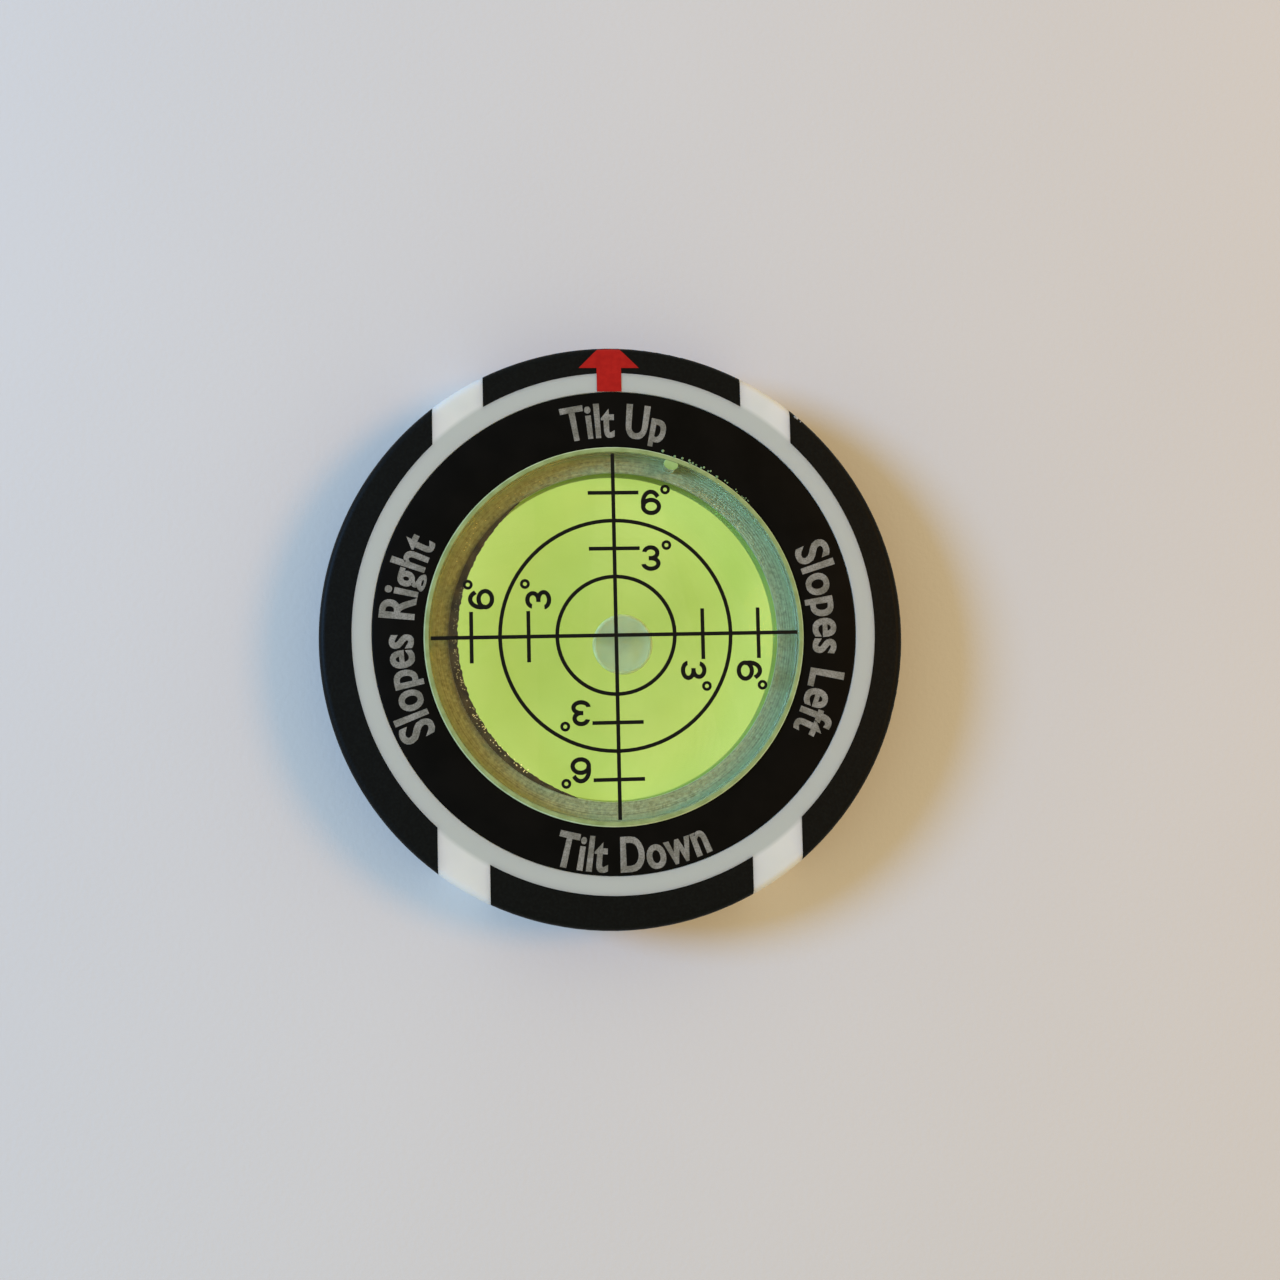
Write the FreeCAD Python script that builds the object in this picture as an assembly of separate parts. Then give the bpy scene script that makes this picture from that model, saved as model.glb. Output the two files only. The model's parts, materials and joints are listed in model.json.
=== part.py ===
"""Round golf ball marker with a bull's-eye slope level set into its face.

Millimetres. +Z points out of the reading face and +Y towards the arrow.
The origin is the centre of the flat underside.
"""

import FreeCAD, Part

import math
import os

from FreeCAD import Vector

# Moulded chip
chip_diameter = 40.0
chip_thickness = 6.0
edge_radius = 0.5
edge_band_width = 2.12
white_ring_width = 1.3
face_ring_width = 3.58
spot_centre = 10.62
spot_width = 3.45
tongue_depth = 0.9
tongue_height = 2.4
mould_shift = Vector(0.12, 0.28, 0)
pocket_floor = 0.9

# Inlaid rings on the two faces
inlay_depth = 0.3
inlay_drop = 0.03
inlay_gap = 0.02

# Round level
glue_film = 0.1
lens_proud = 0.2
lens_centre = 1.0
lens_chamfer = 0.05
cup_wall = 1.5
cup_floor = 0.8
rim_wall = 0.27
rim_drop = 0.04
rim_chamfer = 0.06
gate_diameter = 0.6
gate_height = 0.08
cement_film = 0.05
reflector_thickness = 0.2
reflector_overlap = 0.2
fit_gap = 0.01
plug_width = 1.0
plug_depth = 0.7
plug_inset = 0.22
plug_azimuth = 71.0
fill_notch_depth = 0.7
fill_notch_width = 0.5
cut_margin = 1.0

# Bubble and scale
bubble_diameter = 4.16
bubble_height = 1.2
bubble_film = 0.05
bubble_belly_share = 0.6
bubble_shoulder_share = 0.3
full_scale_deg = 6.0
scale_margin = 1.62
bubble_stop_gap = 0.3
rest_lean_deg = 0.6
rest_azimuth_deg = -50.0
liquid_gap = 0.05

# Printed marks
ink = 0.03
line_width = 0.26
arm_margin = 0.12
tick_pitches = 1.81
circle_degs = (1.5, 4.5)
tick_degs = (3.0, 6.0)
numeral_clearance = 0.16
numeral_gap = 0.15
numeral_rise_share = 0.11
degree_sign_share = 0.38
degree_sign_line_share = 0.6
degree_sign_gap = 0.12

# Figures, as shares of their height
numeral_line_share = 0.17
numeral_width_share = 0.7
three_middle_share = 0.34
three_upper_share = 0.21
three_top_reach = 0.255
three_base_reach = 0.29
three_top_hook = 172
three_base_hook = -176
six_reach_share = 0.31
six_bowl_share = 0.255
six_stem_arc = (38, 215)

# Printed arrow
arrow_stem_width = 1.7
arrow_head_width = 4.16
arrow_stem_length = 1.65
arrow_edge_margin = 0.15
arrow_shift = -0.1

# Sizes that follow
up = Vector(0, 0, 1)
chip_radius = chip_diameter / 2
band_inner = chip_radius - edge_band_width
ring_outer = band_inner - white_ring_width
bore_radius = ring_outer - face_ring_width
vial_radius = bore_radius - glue_film
seat_radius = vial_radius - rim_wall
lens_radius = seat_radius - fit_gap
chamber_radius = vial_radius - cup_wall
bubble_radius = bubble_diameter / 2
full_scale_radius = chamber_radius - scale_margin
dome_radius = (full_scale_radius - bubble_radius) / math.sin(math.radians(full_scale_deg))
lens_top = chip_thickness + lens_proud
dome_top = lens_top - lens_centre
dome_centre = Vector(0, 0, dome_top - dome_radius)
lens_flange = dome_centre.z + math.sqrt(dome_radius ** 2 - chamber_radius ** 2)
cup_top = lens_flange - cement_film
cup_bottom = pocket_floor + reflector_thickness
chamber_floor = cup_bottom + cup_floor
plug_place = lens_radius - plug_inset
mark_step = (full_scale_radius - bubble_radius) / 4
tick_length = tick_pitches * mark_step
numeral_height = mark_step - numeral_clearance
numeral_width = numeral_height * numeral_width_share
numeral_rise = numeral_height * numeral_rise_share
numeral_line = numeral_height * numeral_line_share
degree_sign_radius = numeral_height * degree_sign_share / 2
degree_sign_line = degree_sign_radius * degree_sign_line_share


def disc(radius, low, high, centre=Vector(0, 0, 0)):
    """Upright cylinder between two heights."""
    return Part.makeCylinder(radius, high - low, centre + up * low)


def tube(outer, inner, low, high, centre=Vector(0, 0, 0)):
    """Upright ring between two heights, on one centre."""
    return disc(outer, low, high, centre).cut(disc(inner, low, high, centre))


def block(x_low, x_high, y_low, y_high, z_low, z_high):
    """Box between two corners."""
    corner = Vector(x_low, y_low, z_low)
    return Part.makeBox(x_high - x_low, y_high - y_low, z_high - z_low, corner)


def ball(radius):
    """Ball about the dome's centre of curvature, cut down to the stretch near the lens."""
    near = disc(chip_radius, 0, chip_thickness + lens_proud)
    return Part.makeSphere(radius, dome_centre).common(near)


def turned(shape, degrees):
    """Copy of a shape turned about the chip's axis."""
    copy = shape.copy()
    copy.rotate(Vector(0, 0, 0), up, degrees)
    return copy


def fused(shapes):
    """One clean solid from several that overlap."""
    whole = shapes[0]
    for shape in shapes[1:]:
        whole = whole.fuse(shape)
    return whole.removeSplitter()


def chip_blank(grow=0.0):
    """Whole outside of the chip with its rounded edges, or the same grown by an ink film."""
    blank = disc(chip_radius + grow, -grow, chip_thickness + grow)
    rims = [e for e in blank.Edges if isinstance(e.Curve, Part.Circle)]
    return blank.makeFillet(edge_radius + grow, rims)


def white_core():
    """White shot inside the black edge, with the tongue that locks the two together."""
    middle = chip_thickness / 2
    core = disc(band_inner, 0, chip_thickness, mould_shift)
    low = middle - tongue_height / 2
    tongue = disc(band_inner + tongue_depth, low, low + tongue_height, mould_shift)
    return fused([core, tongue])


def spot_stripes():
    """The two straight stripes that leave four white spots on the edge."""
    inner = spot_centre - spot_width / 2
    outer = spot_centre + spot_width / 2
    reach = 2 * chip_radius
    right = block(inner, outer, -reach, reach, -cut_margin, chip_thickness + cut_margin)
    left = block(-outer, -inner, -reach, reach, -cut_margin, chip_thickness + cut_margin)
    return [stripe.translated(mould_shift) for stripe in (right, left)]


def edge_bands():
    """Black edge of the chip as its four separate arcs, by side."""
    black = chip_blank().cut(white_core()).cut(spot_stripes())
    arcs = black.Solids
    return {
        "edge_band_up": max(arcs, key=lambda s: s.CenterOfMass.y),
        "edge_band_down": min(arcs, key=lambda s: s.CenterOfMass.y),
        "edge_band_left": min(arcs, key=lambda s: s.CenterOfMass.x),
        "edge_band_right": max(arcs, key=lambda s: s.CenterOfMass.x),
    }


def inlay_seat(low, high):
    """Recess for a face ring: round the pocket inside, round the white ring's edge outside."""
    return disc(ring_outer, low, high, mould_shift).cut(disc(bore_radius, low, high))


def chip_body():
    """White shot: core, white ring, edge spots, level pocket and both inlay recesses."""
    body = chip_blank().cut(list(edge_bands().values()))
    pocket = disc(bore_radius, pocket_floor, chip_thickness)
    top_seat = inlay_seat(chip_thickness - inlay_depth, chip_thickness)
    back_seat = inlay_seat(0, inlay_depth)
    return body.cut([pocket, top_seat, back_seat])


def inlay(low, high):
    """Flat black ring that lies in a face recess."""
    outer = disc(ring_outer - inlay_gap, low, high, mould_shift)
    return outer.cut(disc(bore_radius + inlay_gap, low, high))


def face_ring():
    """Ring round the level that carries the direction words."""
    return inlay(chip_thickness - inlay_depth, chip_thickness - inlay_drop)


def back_ring():
    """Matching ring on the underside, just clear of the surface it lies on."""
    return inlay(inlay_drop, inlay_depth)


def uphill_arrow():
    """Ink arrow that starts at the face ring and runs on over the rounded edge."""
    skin = chip_blank(ink).cut(chip_blank())
    start = mould_shift.y + ring_outer
    neck = start + arrow_stem_length
    stem = arrow_stem_width / 2
    head = arrow_head_width / 2
    outline = [(-stem, start), (stem, start), (stem, neck), (head, neck), (0, neck + head),
               (-head, neck), (-stem, neck)]
    points = [Vector(arrow_shift + x, y, chip_thickness / 2) for x, y in outline]
    arrow = Part.Face(Part.makePolygon(points + points[:1])).extrude(up * chip_thickness)
    reach = disc(chip_radius - arrow_edge_margin, 0, 2 * chip_thickness)
    return skin.common(arrow).common(reach)


def oval_pin(half_width, half_height, low, high):
    """Upright pin with an oval section about the origin."""
    long = max(half_width, half_height)
    short = min(half_width, half_height, long - 1e-6)
    wire = Part.Wire(Part.Ellipse(Vector(0, 0, low), long, short).toShape())
    pin = Part.Face(wire).extrude(up * (high - low))
    return turned(pin, 90 if half_height > half_width else 0)


def fill_port(low, high, gap=0.0):
    """Oval pin that breaks through the cover's edge, where the liquid goes in."""
    pin = oval_pin(plug_depth / 2 + gap, plug_width / 2 + gap, low, high)
    pin.translate(Vector(plug_place, 0, 0))
    return turned(pin, plug_azimuth).common(disc(lens_radius + gap, low, high))


def fill_notch():
    """Passage through the shoulder, from the fill port to the chamber."""
    low = cup_top - fill_notch_depth
    half = fill_notch_width / 2
    passage = block(chamber_radius - cut_margin, plug_place, -half, half, low, cup_top)
    return turned(passage, plug_azimuth).fuse(fill_port(low, cup_top, fit_gap))


def chamber(gap=0.0, film=0.0):
    """Space that the liquid fills, under the dome, or the same smaller by a gap and a film."""
    column = disc(chamber_radius - gap, chamber_floor + gap, dome_top)
    return column.common(ball(dome_radius - film))


def gate_mark(grow=0.0):
    """Trimmed moulding gate in the middle of the cup's floor."""
    height = gate_height + grow
    return disc(gate_diameter / 2 + grow, chamber_floor - fit_gap, chamber_floor + height)


def vial_cup():
    """Clear cup that holds the liquid, with a shoulder for the cover and a thin rim round it."""
    top = lens_top - rim_drop
    cup = disc(vial_radius, cup_bottom, top)
    edge = [e for e in cup.Edges if e.BoundBox.ZMin > top - fit_gap]
    cup = cup.makeChamfer(rim_chamfer, edge)
    hollow = [disc(chamber_radius, chamber_floor, cup_top), disc(seat_radius, cup_top, top)]
    return fused([cup.cut(hollow).cut(fill_notch()), gate_mark()])


def vial_lens():
    """Clear cover, flat on top and domed beneath, so the bubble finds the highest point."""
    lens = disc(lens_radius, lens_flange, lens_top)
    rim = [e for e in lens.Edges if e.BoundBox.ZMin > lens_top - fit_gap]
    lens = lens.makeChamfer(lens_chamfer, rim)
    return lens.cut([chamber(), fill_port(lens_flange, lens_top, fit_gap)])


def lens_cement():
    """Cement that joins the cover to the cup's shoulder."""
    ring = tube(lens_radius, chamber_radius + fit_gap, cup_top, lens_flange)
    return ring.cut(fill_port(cup_top, lens_flange, fit_gap))


def vial_glue():
    """Adhesive between the level and its pocket."""
    top = chip_thickness - inlay_drop
    return tube(bore_radius - fit_gap, vial_radius + fit_gap, pocket_floor, top)


def reflector_disc():
    """White film under the chamber that throws the light back up."""
    return disc(chamber_radius + reflector_overlap, pocket_floor, cup_bottom)


def fill_plug():
    """Pin that seals the fill port."""
    return fill_port(cup_top - fill_notch_depth, lens_top - lens_chamfer)


def level_liquid():
    """Liquid up to the shell that the bubble's underside sweeps."""
    swept = bubble_film + bubble_height + liquid_gap
    return chamber(liquid_gap, swept).cut(gate_mark(liquid_gap))


def air_bubble():
    """Flattened bubble pressed against the dome, leaning a little off the centre."""
    top = dome_top - bubble_film
    low = top - bubble_height
    pill = disc(bubble_radius, low, top)
    lower = [e for e in pill.Edges if e.BoundBox.ZMax < low + fit_gap]
    pill = pill.makeFillet(bubble_height * bubble_belly_share, lower)
    upper = [e for e in pill.Edges if e.BoundBox.ZMin > top - fit_gap]
    pill = pill.makeFillet(bubble_height * bubble_shoulder_share, upper)
    pill = pill.common(ball(dome_radius - bubble_film))
    pill.rotate(dome_centre, bubble_axis(), rest_lean_deg)
    return pill


def bubble_axis():
    """Direction of the axis that the bubble swings about on the dome."""
    azimuth = math.radians(rest_azimuth_deg)
    return Vector(-math.sin(azimuth), math.cos(azimuth), 0)


def mark_radius(degrees):
    """Place that the bubble's leading edge reaches at a slope."""
    return bubble_radius + dome_radius * math.sin(math.radians(degrees))


def printed(x_low, x_high, y_low, y_high):
    """Rectangle of ink on the lens."""
    return block(x_low, x_high, y_low, y_high, lens_top, lens_top + ink)


def crosshair():
    """Two ink lines across the lens."""
    arm = lens_radius - arm_margin
    half = line_width / 2
    return fused([printed(-arm, arm, -half, half), printed(-half, half, -arm, arm)])


def circle_mark(degrees):
    """Ink circle on the lens, open where the crosshair passes."""
    radius = mark_radius(degrees)
    half = line_width / 2
    ring = tube(radius + half, radius - half, lens_top, lens_top + ink)
    return ring.cut(crosshair())


def quarter_copies(shape):
    """The shape on all four arms."""
    return Part.makeCompound([turned(shape, -90 * n) for n in range(4)])


def degree_ticks():
    """Cross lines on every arm at the marked slopes."""
    marks = []
    for degrees in tick_degs:
        place = mark_radius(degrees)
        low = place - line_width / 2
        marks.append(printed(-tick_length / 2, tick_length / 2, low, low + line_width))
    return quarter_copies(Part.makeCompound(marks).cut(crosshair()))


def oval(centre, half_width, half_height, line, from_deg=0, to_deg=360):
    """Stretch of an oval ink line: its middle runs at the half sizes, from one angle on to another."""
    half = line / 2
    ring = oval_pin(half_width + half, half_height + half, 0, ink)
    ring = ring.cut(oval_pin(half_width - half, half_height - half, 0, ink))
    if to_deg - from_deg < 360:
        ring = ring.common(wedge(from_deg, to_deg, 3 * (half_width + half_height)))
    ring.translate(centre)
    return ring


def wedge(from_deg, to_deg, reach):
    """Fan about the origin between two angles."""
    count = 8
    step = (to_deg - from_deg) / count
    fan = [Vector(0, 0, 0)]
    for n in range(count + 1):
        angle = math.radians(from_deg + n * step)
        fan.append(Vector(math.cos(angle), math.sin(angle), 0) * reach)
    return Part.Face(Part.makePolygon(fan + fan[:1])).extrude(up * ink)


def numeral_three(size):
    """The figure 3, its lower left corner at the origin."""
    half = numeral_line / 2
    upper = size * three_upper_share
    lower = (size - numeral_line) / 2 - upper
    joint = half + 2 * lower
    middle = size * three_middle_share
    above = Vector(middle, joint + upper, 0)
    below = Vector(middle, half + lower, 0)
    top = oval(above, size * three_top_reach, upper, numeral_line, -90, three_top_hook)
    base = oval(below, size * three_base_reach, lower, numeral_line, three_base_hook, 90)
    bar = block(middle - half, middle + half, joint - half, joint + half, 0, ink)
    return fused([top, base, bar])


def numeral_six(size):
    """The figure 6, its lower left corner at the origin."""
    half = numeral_line / 2
    wide = size * six_reach_share
    bowl = size * six_bowl_share
    middle = wide + half
    loop = oval(Vector(middle, half + bowl, 0), wide, bowl, numeral_line)
    tall = (size - numeral_line) / 2
    stem = oval(Vector(middle, half + tall, 0), wide, tall, numeral_line, *six_stem_arc)
    return fused([loop, stem])


def numerals(degrees):
    """A figure beside each tick of one slope, its top a little above the tick."""
    figure = {3.0: numeral_three, 6.0: numeral_six}[degrees](numeral_height)
    left = tick_length / 2 + numeral_gap
    low = mark_radius(degrees) + numeral_rise - numeral_height
    return quarter_copies(figure.translated(Vector(left, low, lens_top)))


def degree_signs():
    """Small ring after each figure."""
    radius = degree_sign_radius
    across = tick_length / 2 + numeral_gap + numeral_width + degree_sign_gap + radius
    signs = []
    for degrees in tick_degs:
        place = Vector(across, mark_radius(degrees) + numeral_rise, 0)
        signs.append(tube(radius, radius - degree_sign_line, lens_top, lens_top + ink, place))
    return quarter_copies(Part.makeCompound(signs))


pieces = {
    "chip_body": chip_body(),
    **edge_bands(),
    "face_ring": face_ring(),
    "back_ring": back_ring(),
    "uphill_arrow": uphill_arrow(),
    "reflector_disc": reflector_disc(),
    "vial_glue": vial_glue(),
    "vial_cup": vial_cup(),
    "lens_cement": lens_cement(),
    "fill_plug": fill_plug(),
    "vial_lens": vial_lens(),
    "crosshair": crosshair(),
    "inner_circle": circle_mark(circle_degs[0]),
    "outer_circle": circle_mark(circle_degs[1]),
    "degree_ticks": degree_ticks(),
    "three_numerals": numerals(3.0),
    "six_numerals": numerals(6.0),
    "degree_signs": degree_signs(),
    "level_liquid": level_liquid(),
    "air_bubble": air_bubble(),
}

os.makedirs("parts", exist_ok=True)
for node, shape in pieces.items():
    shape.exportStep("parts/" + node + ".step")
    print(node, len(shape.Solids), "solids", round(shape.Volume, 3), "mm3", "valid", shape.isValid())

stop_sine = (chamber_radius - bubble_stop_gap - bubble_radius) / (dome_radius - bubble_height / 2)
print("dome radius", round(dome_radius, 3), "dome centre", dome_centre, "axis", bubble_axis())
print("bubble swings", round(math.degrees(math.asin(stop_sine)), 2), "degrees each way from the middle")
print("chamber", chamber_radius, chamber_floor, lens_flange, dome_top)
print("marks", [mark_radius(degrees) for degrees in (1.5, 3, 4.5, 6)])
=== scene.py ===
import json
import math

import bmesh
import bpy
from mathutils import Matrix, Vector


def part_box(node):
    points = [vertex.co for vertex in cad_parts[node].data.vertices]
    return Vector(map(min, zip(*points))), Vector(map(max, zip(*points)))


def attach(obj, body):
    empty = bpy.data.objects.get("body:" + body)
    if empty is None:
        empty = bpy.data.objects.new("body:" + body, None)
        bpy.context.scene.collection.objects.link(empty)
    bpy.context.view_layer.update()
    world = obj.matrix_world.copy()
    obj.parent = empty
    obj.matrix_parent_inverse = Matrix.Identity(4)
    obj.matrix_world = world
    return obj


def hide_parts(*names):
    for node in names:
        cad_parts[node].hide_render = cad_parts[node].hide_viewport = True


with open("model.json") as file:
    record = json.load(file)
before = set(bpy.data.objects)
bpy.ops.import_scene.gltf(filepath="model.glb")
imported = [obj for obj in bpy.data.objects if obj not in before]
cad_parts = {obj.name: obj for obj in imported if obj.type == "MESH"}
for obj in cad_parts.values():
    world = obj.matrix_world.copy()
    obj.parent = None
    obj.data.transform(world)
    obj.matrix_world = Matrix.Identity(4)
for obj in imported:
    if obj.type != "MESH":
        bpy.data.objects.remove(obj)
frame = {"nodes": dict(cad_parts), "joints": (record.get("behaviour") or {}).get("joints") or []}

# Looks of a round golf marker: a moulded chip with a bull's-eye level set in its face.
# Everything is in metres in the frame's axes. Names that end in Mm hold millimetres, and mm turns them into
# metres.

mm = 0.001
onAxis = 1e-9          # a smaller radius, in metres, is a point on the axis
cornerShare = 0.45     # the most of a side that one rounded corner takes
turnSegments = 256     # steps round a turned piece
mixA, mixB = 6, 7      # the Mix node's colour inputs
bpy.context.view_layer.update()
nodes = frame["nodes"]
mouldCentre = sum(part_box("face_ring"), Vector()) / 2   # the moulding sits a little off the vial's axis
mouldCentre.z = 0


def hexColour(code):
    # an sRGB code as linear red, green, blue and a full alpha
    channels = [int(code[place:place + 2], 16) / 255 for place in (1, 3, 5)]
    linear = [c / 12.92 if c <= 0.04045 else ((c + 0.055) / 1.055) ** 2.4 for c in channels]
    return (*linear, 1.0)


def perMetre(sizeMm):
    # pattern scale for features of that size
    return 1 / (sizeMm * mm)


def put(tree, kind, values=None, links=None, **settings):
    node = tree.nodes.new(kind)
    for name, value in settings.items():
        setattr(node, name, value)
    for socket, value in (values or {}).items():
        node.inputs[socket].default_value = value
    for socket, source in (links or {}).items():
        output = source if isinstance(source, bpy.types.NodeSocket) else source.outputs[0]
        tree.links.new(output, node.inputs[socket])
    return node


def newMaterial(name):
    material = bpy.data.materials.new(name)
    material.use_nodes = True
    material.node_tree.nodes.clear()
    return material


def closeMaterial(material, shader):
    put(material.node_tree, "ShaderNodeOutputMaterial", links={"Surface": shader})
    return material


def meshPiece(name, mesh, material, body="marker", replaces=()):
    piece = bpy.data.objects.new(name, mesh)
    bpy.context.scene.collection.objects.link(piece)
    mesh.materials.clear()
    mesh.materials.append(material)
    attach(piece, body)
    if replaces:
        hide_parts(*replaces)
    return piece


def rounded(outline, radius, steps=4):
    # a closed (r, z) outline with each corner turned into a short arc
    soft = []
    for here in range(len(outline)):
        corner = Vector(outline[here])
        before = Vector(outline[here - 1]) - corner
        after = Vector(outline[(here + 1) % len(outline)]) - corner
        reach = min(radius, cornerShare * before.length, cornerShare * after.length)
        start = corner + before.normalized() * reach
        end = corner + after.normalized() * reach
        for step in range(steps + 1):
            t = step / steps
            bend = start * (1 - t) ** 2 + corner * 2 * t * (1 - t) + end * t ** 2
            soft.append(tuple(bend))
    return soft


def lathe(name, outline):
    # turns a closed (r, z) outline, in metres, round the Z axis
    mesh = bpy.data.meshes.new(name)
    build = bmesh.new()
    rings = []
    for radius, height in outline:
        if radius < onAxis:
            pole = build.verts.new((0, 0, height))
            rings.append([pole] * turnSegments)
            continue
        ring = []
        for step in range(turnSegments):
            angle = math.tau * step / turnSegments
            ring.append(build.verts.new((radius * math.cos(angle), radius * math.sin(angle), height)))
        rings.append(ring)
    for index, ring in enumerate(rings):
        beside = rings[(index + 1) % len(rings)]
        for step in range(turnSegments):
            following = (step + 1) % turnSegments
            corners = [ring[step], ring[following], beside[following], beside[step]]
            corners = list(dict.fromkeys(corners))
            if len(corners) > 2:
                build.faces.new(corners)
    bmesh.ops.recalc_face_normals(build, faces=build.faces)
    build.to_mesh(mesh)
    build.free()
    smoothByAngle(mesh)
    return mesh


def smoothByAngle(mesh, degrees=32):
    mesh.polygons.foreach_set("use_smooth", [True] * len(mesh.polygons))
    mesh.set_sharp_from_angle(angle=math.radians(degrees))


def growTree(name, inputs):
    # an empty Geometry Nodes tree with the named inputs and one geometry output
    tree = bpy.data.node_groups.new(name, "GeometryNodeTree")
    for label, kind in inputs:
        tree.interface.new_socket(name=label, in_out="INPUT", socket_type="NodeSocket" + kind)
    tree.interface.new_socket(name="Geometry", in_out="OUTPUT", socket_type="NodeSocketGeometry")
    return tree, put(tree, "NodeGroupInput").outputs


def harvest(tree, name, values):
    # runs the tree with these input values and returns its plain mesh
    holder = bpy.data.objects.new(name + "Holder", bpy.data.meshes.new(name + "Holder"))
    bpy.context.scene.collection.objects.link(holder)
    modifier = holder.modifiers.new(name, "NODES")
    modifier.node_group = tree
    for item in tree.interface.items_tree:
        if item.in_out == "INPUT":
            modifier[item.identifier] = values[item.name]
    reading = bpy.context.evaluated_depsgraph_get()
    mesh = bpy.data.meshes.new_from_object(holder.evaluated_get(reading), depsgraph=reading)
    holder.modifiers.remove(modifier)
    bpy.data.objects.remove(holder)
    mesh.name = name
    return mesh


def objectPlace(tree, centre=(0, 0, 0)):
    place = put(tree, "ShaderNodeTexCoord")
    return put(tree, "ShaderNodeMapping", {"Location": [-c for c in centre]},
               {"Vector": place.outputs["Object"]}).outputs[0]


def distanceFromAxis(tree, place):
    parts = put(tree, "ShaderNodeSeparateXYZ", links={"Vector": place})
    flat = put(tree, "ShaderNodeCombineXYZ", links={"X": parts.outputs["X"], "Y": parts.outputs["Y"]})
    return put(tree, "ShaderNodeVectorMath", links={0: flat}, operation="LENGTH").outputs["Value"]


def grainBump(tree, place, sizeMm, heightMm, detail=2.0):
    noise = put(tree, "ShaderNodeTexNoise", {"Scale": perMetre(sizeMm), "Detail": detail}, {"Vector": place})
    return put(tree, "ShaderNodeBump", {"Strength": 1.0, "Distance": heightMm * mm}, {"Height": noise})


def twoTone(tree, place, sizeMm, dark, light, low=0.35, high=0.65):
    # patches of that size that run from the dark colour to the light one
    noise = put(tree, "ShaderNodeTexNoise", {"Scale": perMetre(sizeMm), "Detail": 3.0}, {"Vector": place})
    ramp = put(tree, "ShaderNodeValToRGB", links={"Fac": noise})
    for stop, position, colour in zip(ramp.color_ramp.elements, (low, high), (dark, light)):
        stop.position = position
        stop.color = hexColour(colour)
    return ramp


def whiteAbsMoulded():
    # injection-moulded white ABS: satin and slightly translucent, greyer in the narrow ring round the inlay
    look = {"dark": "#e2e6e0", "light": "#eceee8", "mottleMm": 5.0, "peelMm": 0.5, "peelHeightMm": 0.006,
            "narrow": "#c6cdc6", "narrowToMm": 17.8, "whiteFromMm": 18.1, "scatterMm": 1.4}
    material = newMaterial("whiteAbsMoulded")
    tree = material.node_tree
    place = objectPlace(tree)
    mottle = twoTone(tree, place, look["mottleMm"], look["dark"], look["light"])
    reach = distanceFromAxis(tree, objectPlace(tree, mouldCentre))
    whiter = put(tree, "ShaderNodeMapRange",
                 {"From Min": look["narrowToMm"] * mm, "From Max": look["whiteFromMm"] * mm},
                 {"Value": reach})
    colour = put(tree, "ShaderNodeMix", {mixA: hexColour(look["narrow"])}, {"Factor": whiter, mixB: mottle},
                 data_type="RGBA")
    peel = grainBump(tree, place, look["peelMm"], look["peelHeightMm"])
    shader = put(tree, "ShaderNodeBsdfPrincipled",
                 {"Roughness": 0.42, "IOR": 1.53, "Subsurface Weight": 0.6,
                  "Subsurface Scale": look["scatterMm"] * mm, "Subsurface Radius": (1.0, 1.0, 0.85)},
                 {"Base Color": colour.outputs["Result"], "Normal": peel})
    return closeMaterial(material, shader)


def blackAbsGrained():
    # black ABS from a spark-eroded mould: a fine even grain that breaks the shine into a soft grey
    look = {"dark": "#040606", "light": "#0c100f", "grainMm": 0.16, "grainHeightMm": 0.018}
    material = newMaterial("blackAbsGrained")
    tree = material.node_tree
    place = objectPlace(tree)
    colour = twoTone(tree, place, look["grainMm"], look["dark"], look["light"], low=0.4, high=0.7)
    grain = grainBump(tree, place, look["grainMm"], look["grainHeightMm"], detail=4.0)
    shader = put(tree, "ShaderNodeBsdfPrincipled",
                 {"Roughness": 0.5, "IOR": 1.53, "Specular IOR Level": 0.11},
                 {"Base Color": colour, "Normal": grain})
    return closeMaterial(material, shader)


def blackInlayMatte():
    # smooth matte printed inlay: deeper black than the grained edge, with only a faint bloom of dust
    look = {"dark": "#050504", "light": "#0b0a08", "bloomMm": 2.2, "toothMm": 0.07, "toothHeightMm": 0.004}
    material = newMaterial("blackInlayMatte")
    tree = material.node_tree
    place = objectPlace(tree)
    colour = twoTone(tree, place, look["bloomMm"], look["dark"], look["light"])
    tooth = grainBump(tree, place, look["toothMm"], look["toothHeightMm"])
    shader = put(tree, "ShaderNodeBsdfPrincipled",
                 {"Roughness": 0.48, "IOR": 1.5, "Specular IOR Level": 0.07},
                 {"Base Color": colour, "Normal": tooth})
    return closeMaterial(material, shader)


def redPadInk():
    # pad-printed red ink: opaque, satin and faintly mottled
    look = {"dark": "#ac1210", "light": "#ba1a15", "mottleMm": 0.5, "toothMm": 0.12, "toothHeightMm": 0.006}
    material = newMaterial("redPadInk")
    tree = material.node_tree
    place = objectPlace(tree)
    colour = twoTone(tree, place, look["mottleMm"], look["dark"], look["light"])
    tooth = grainBump(tree, place, look["toothMm"], look["toothHeightMm"])
    shader = put(tree, "ShaderNodeBsdfPrincipled", {"Roughness": 0.45, "IOR": 1.5, "Specular IOR Level": 0.2},
                 {"Base Color": colour, "Normal": tooth})
    return closeMaterial(material, shader)


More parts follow.
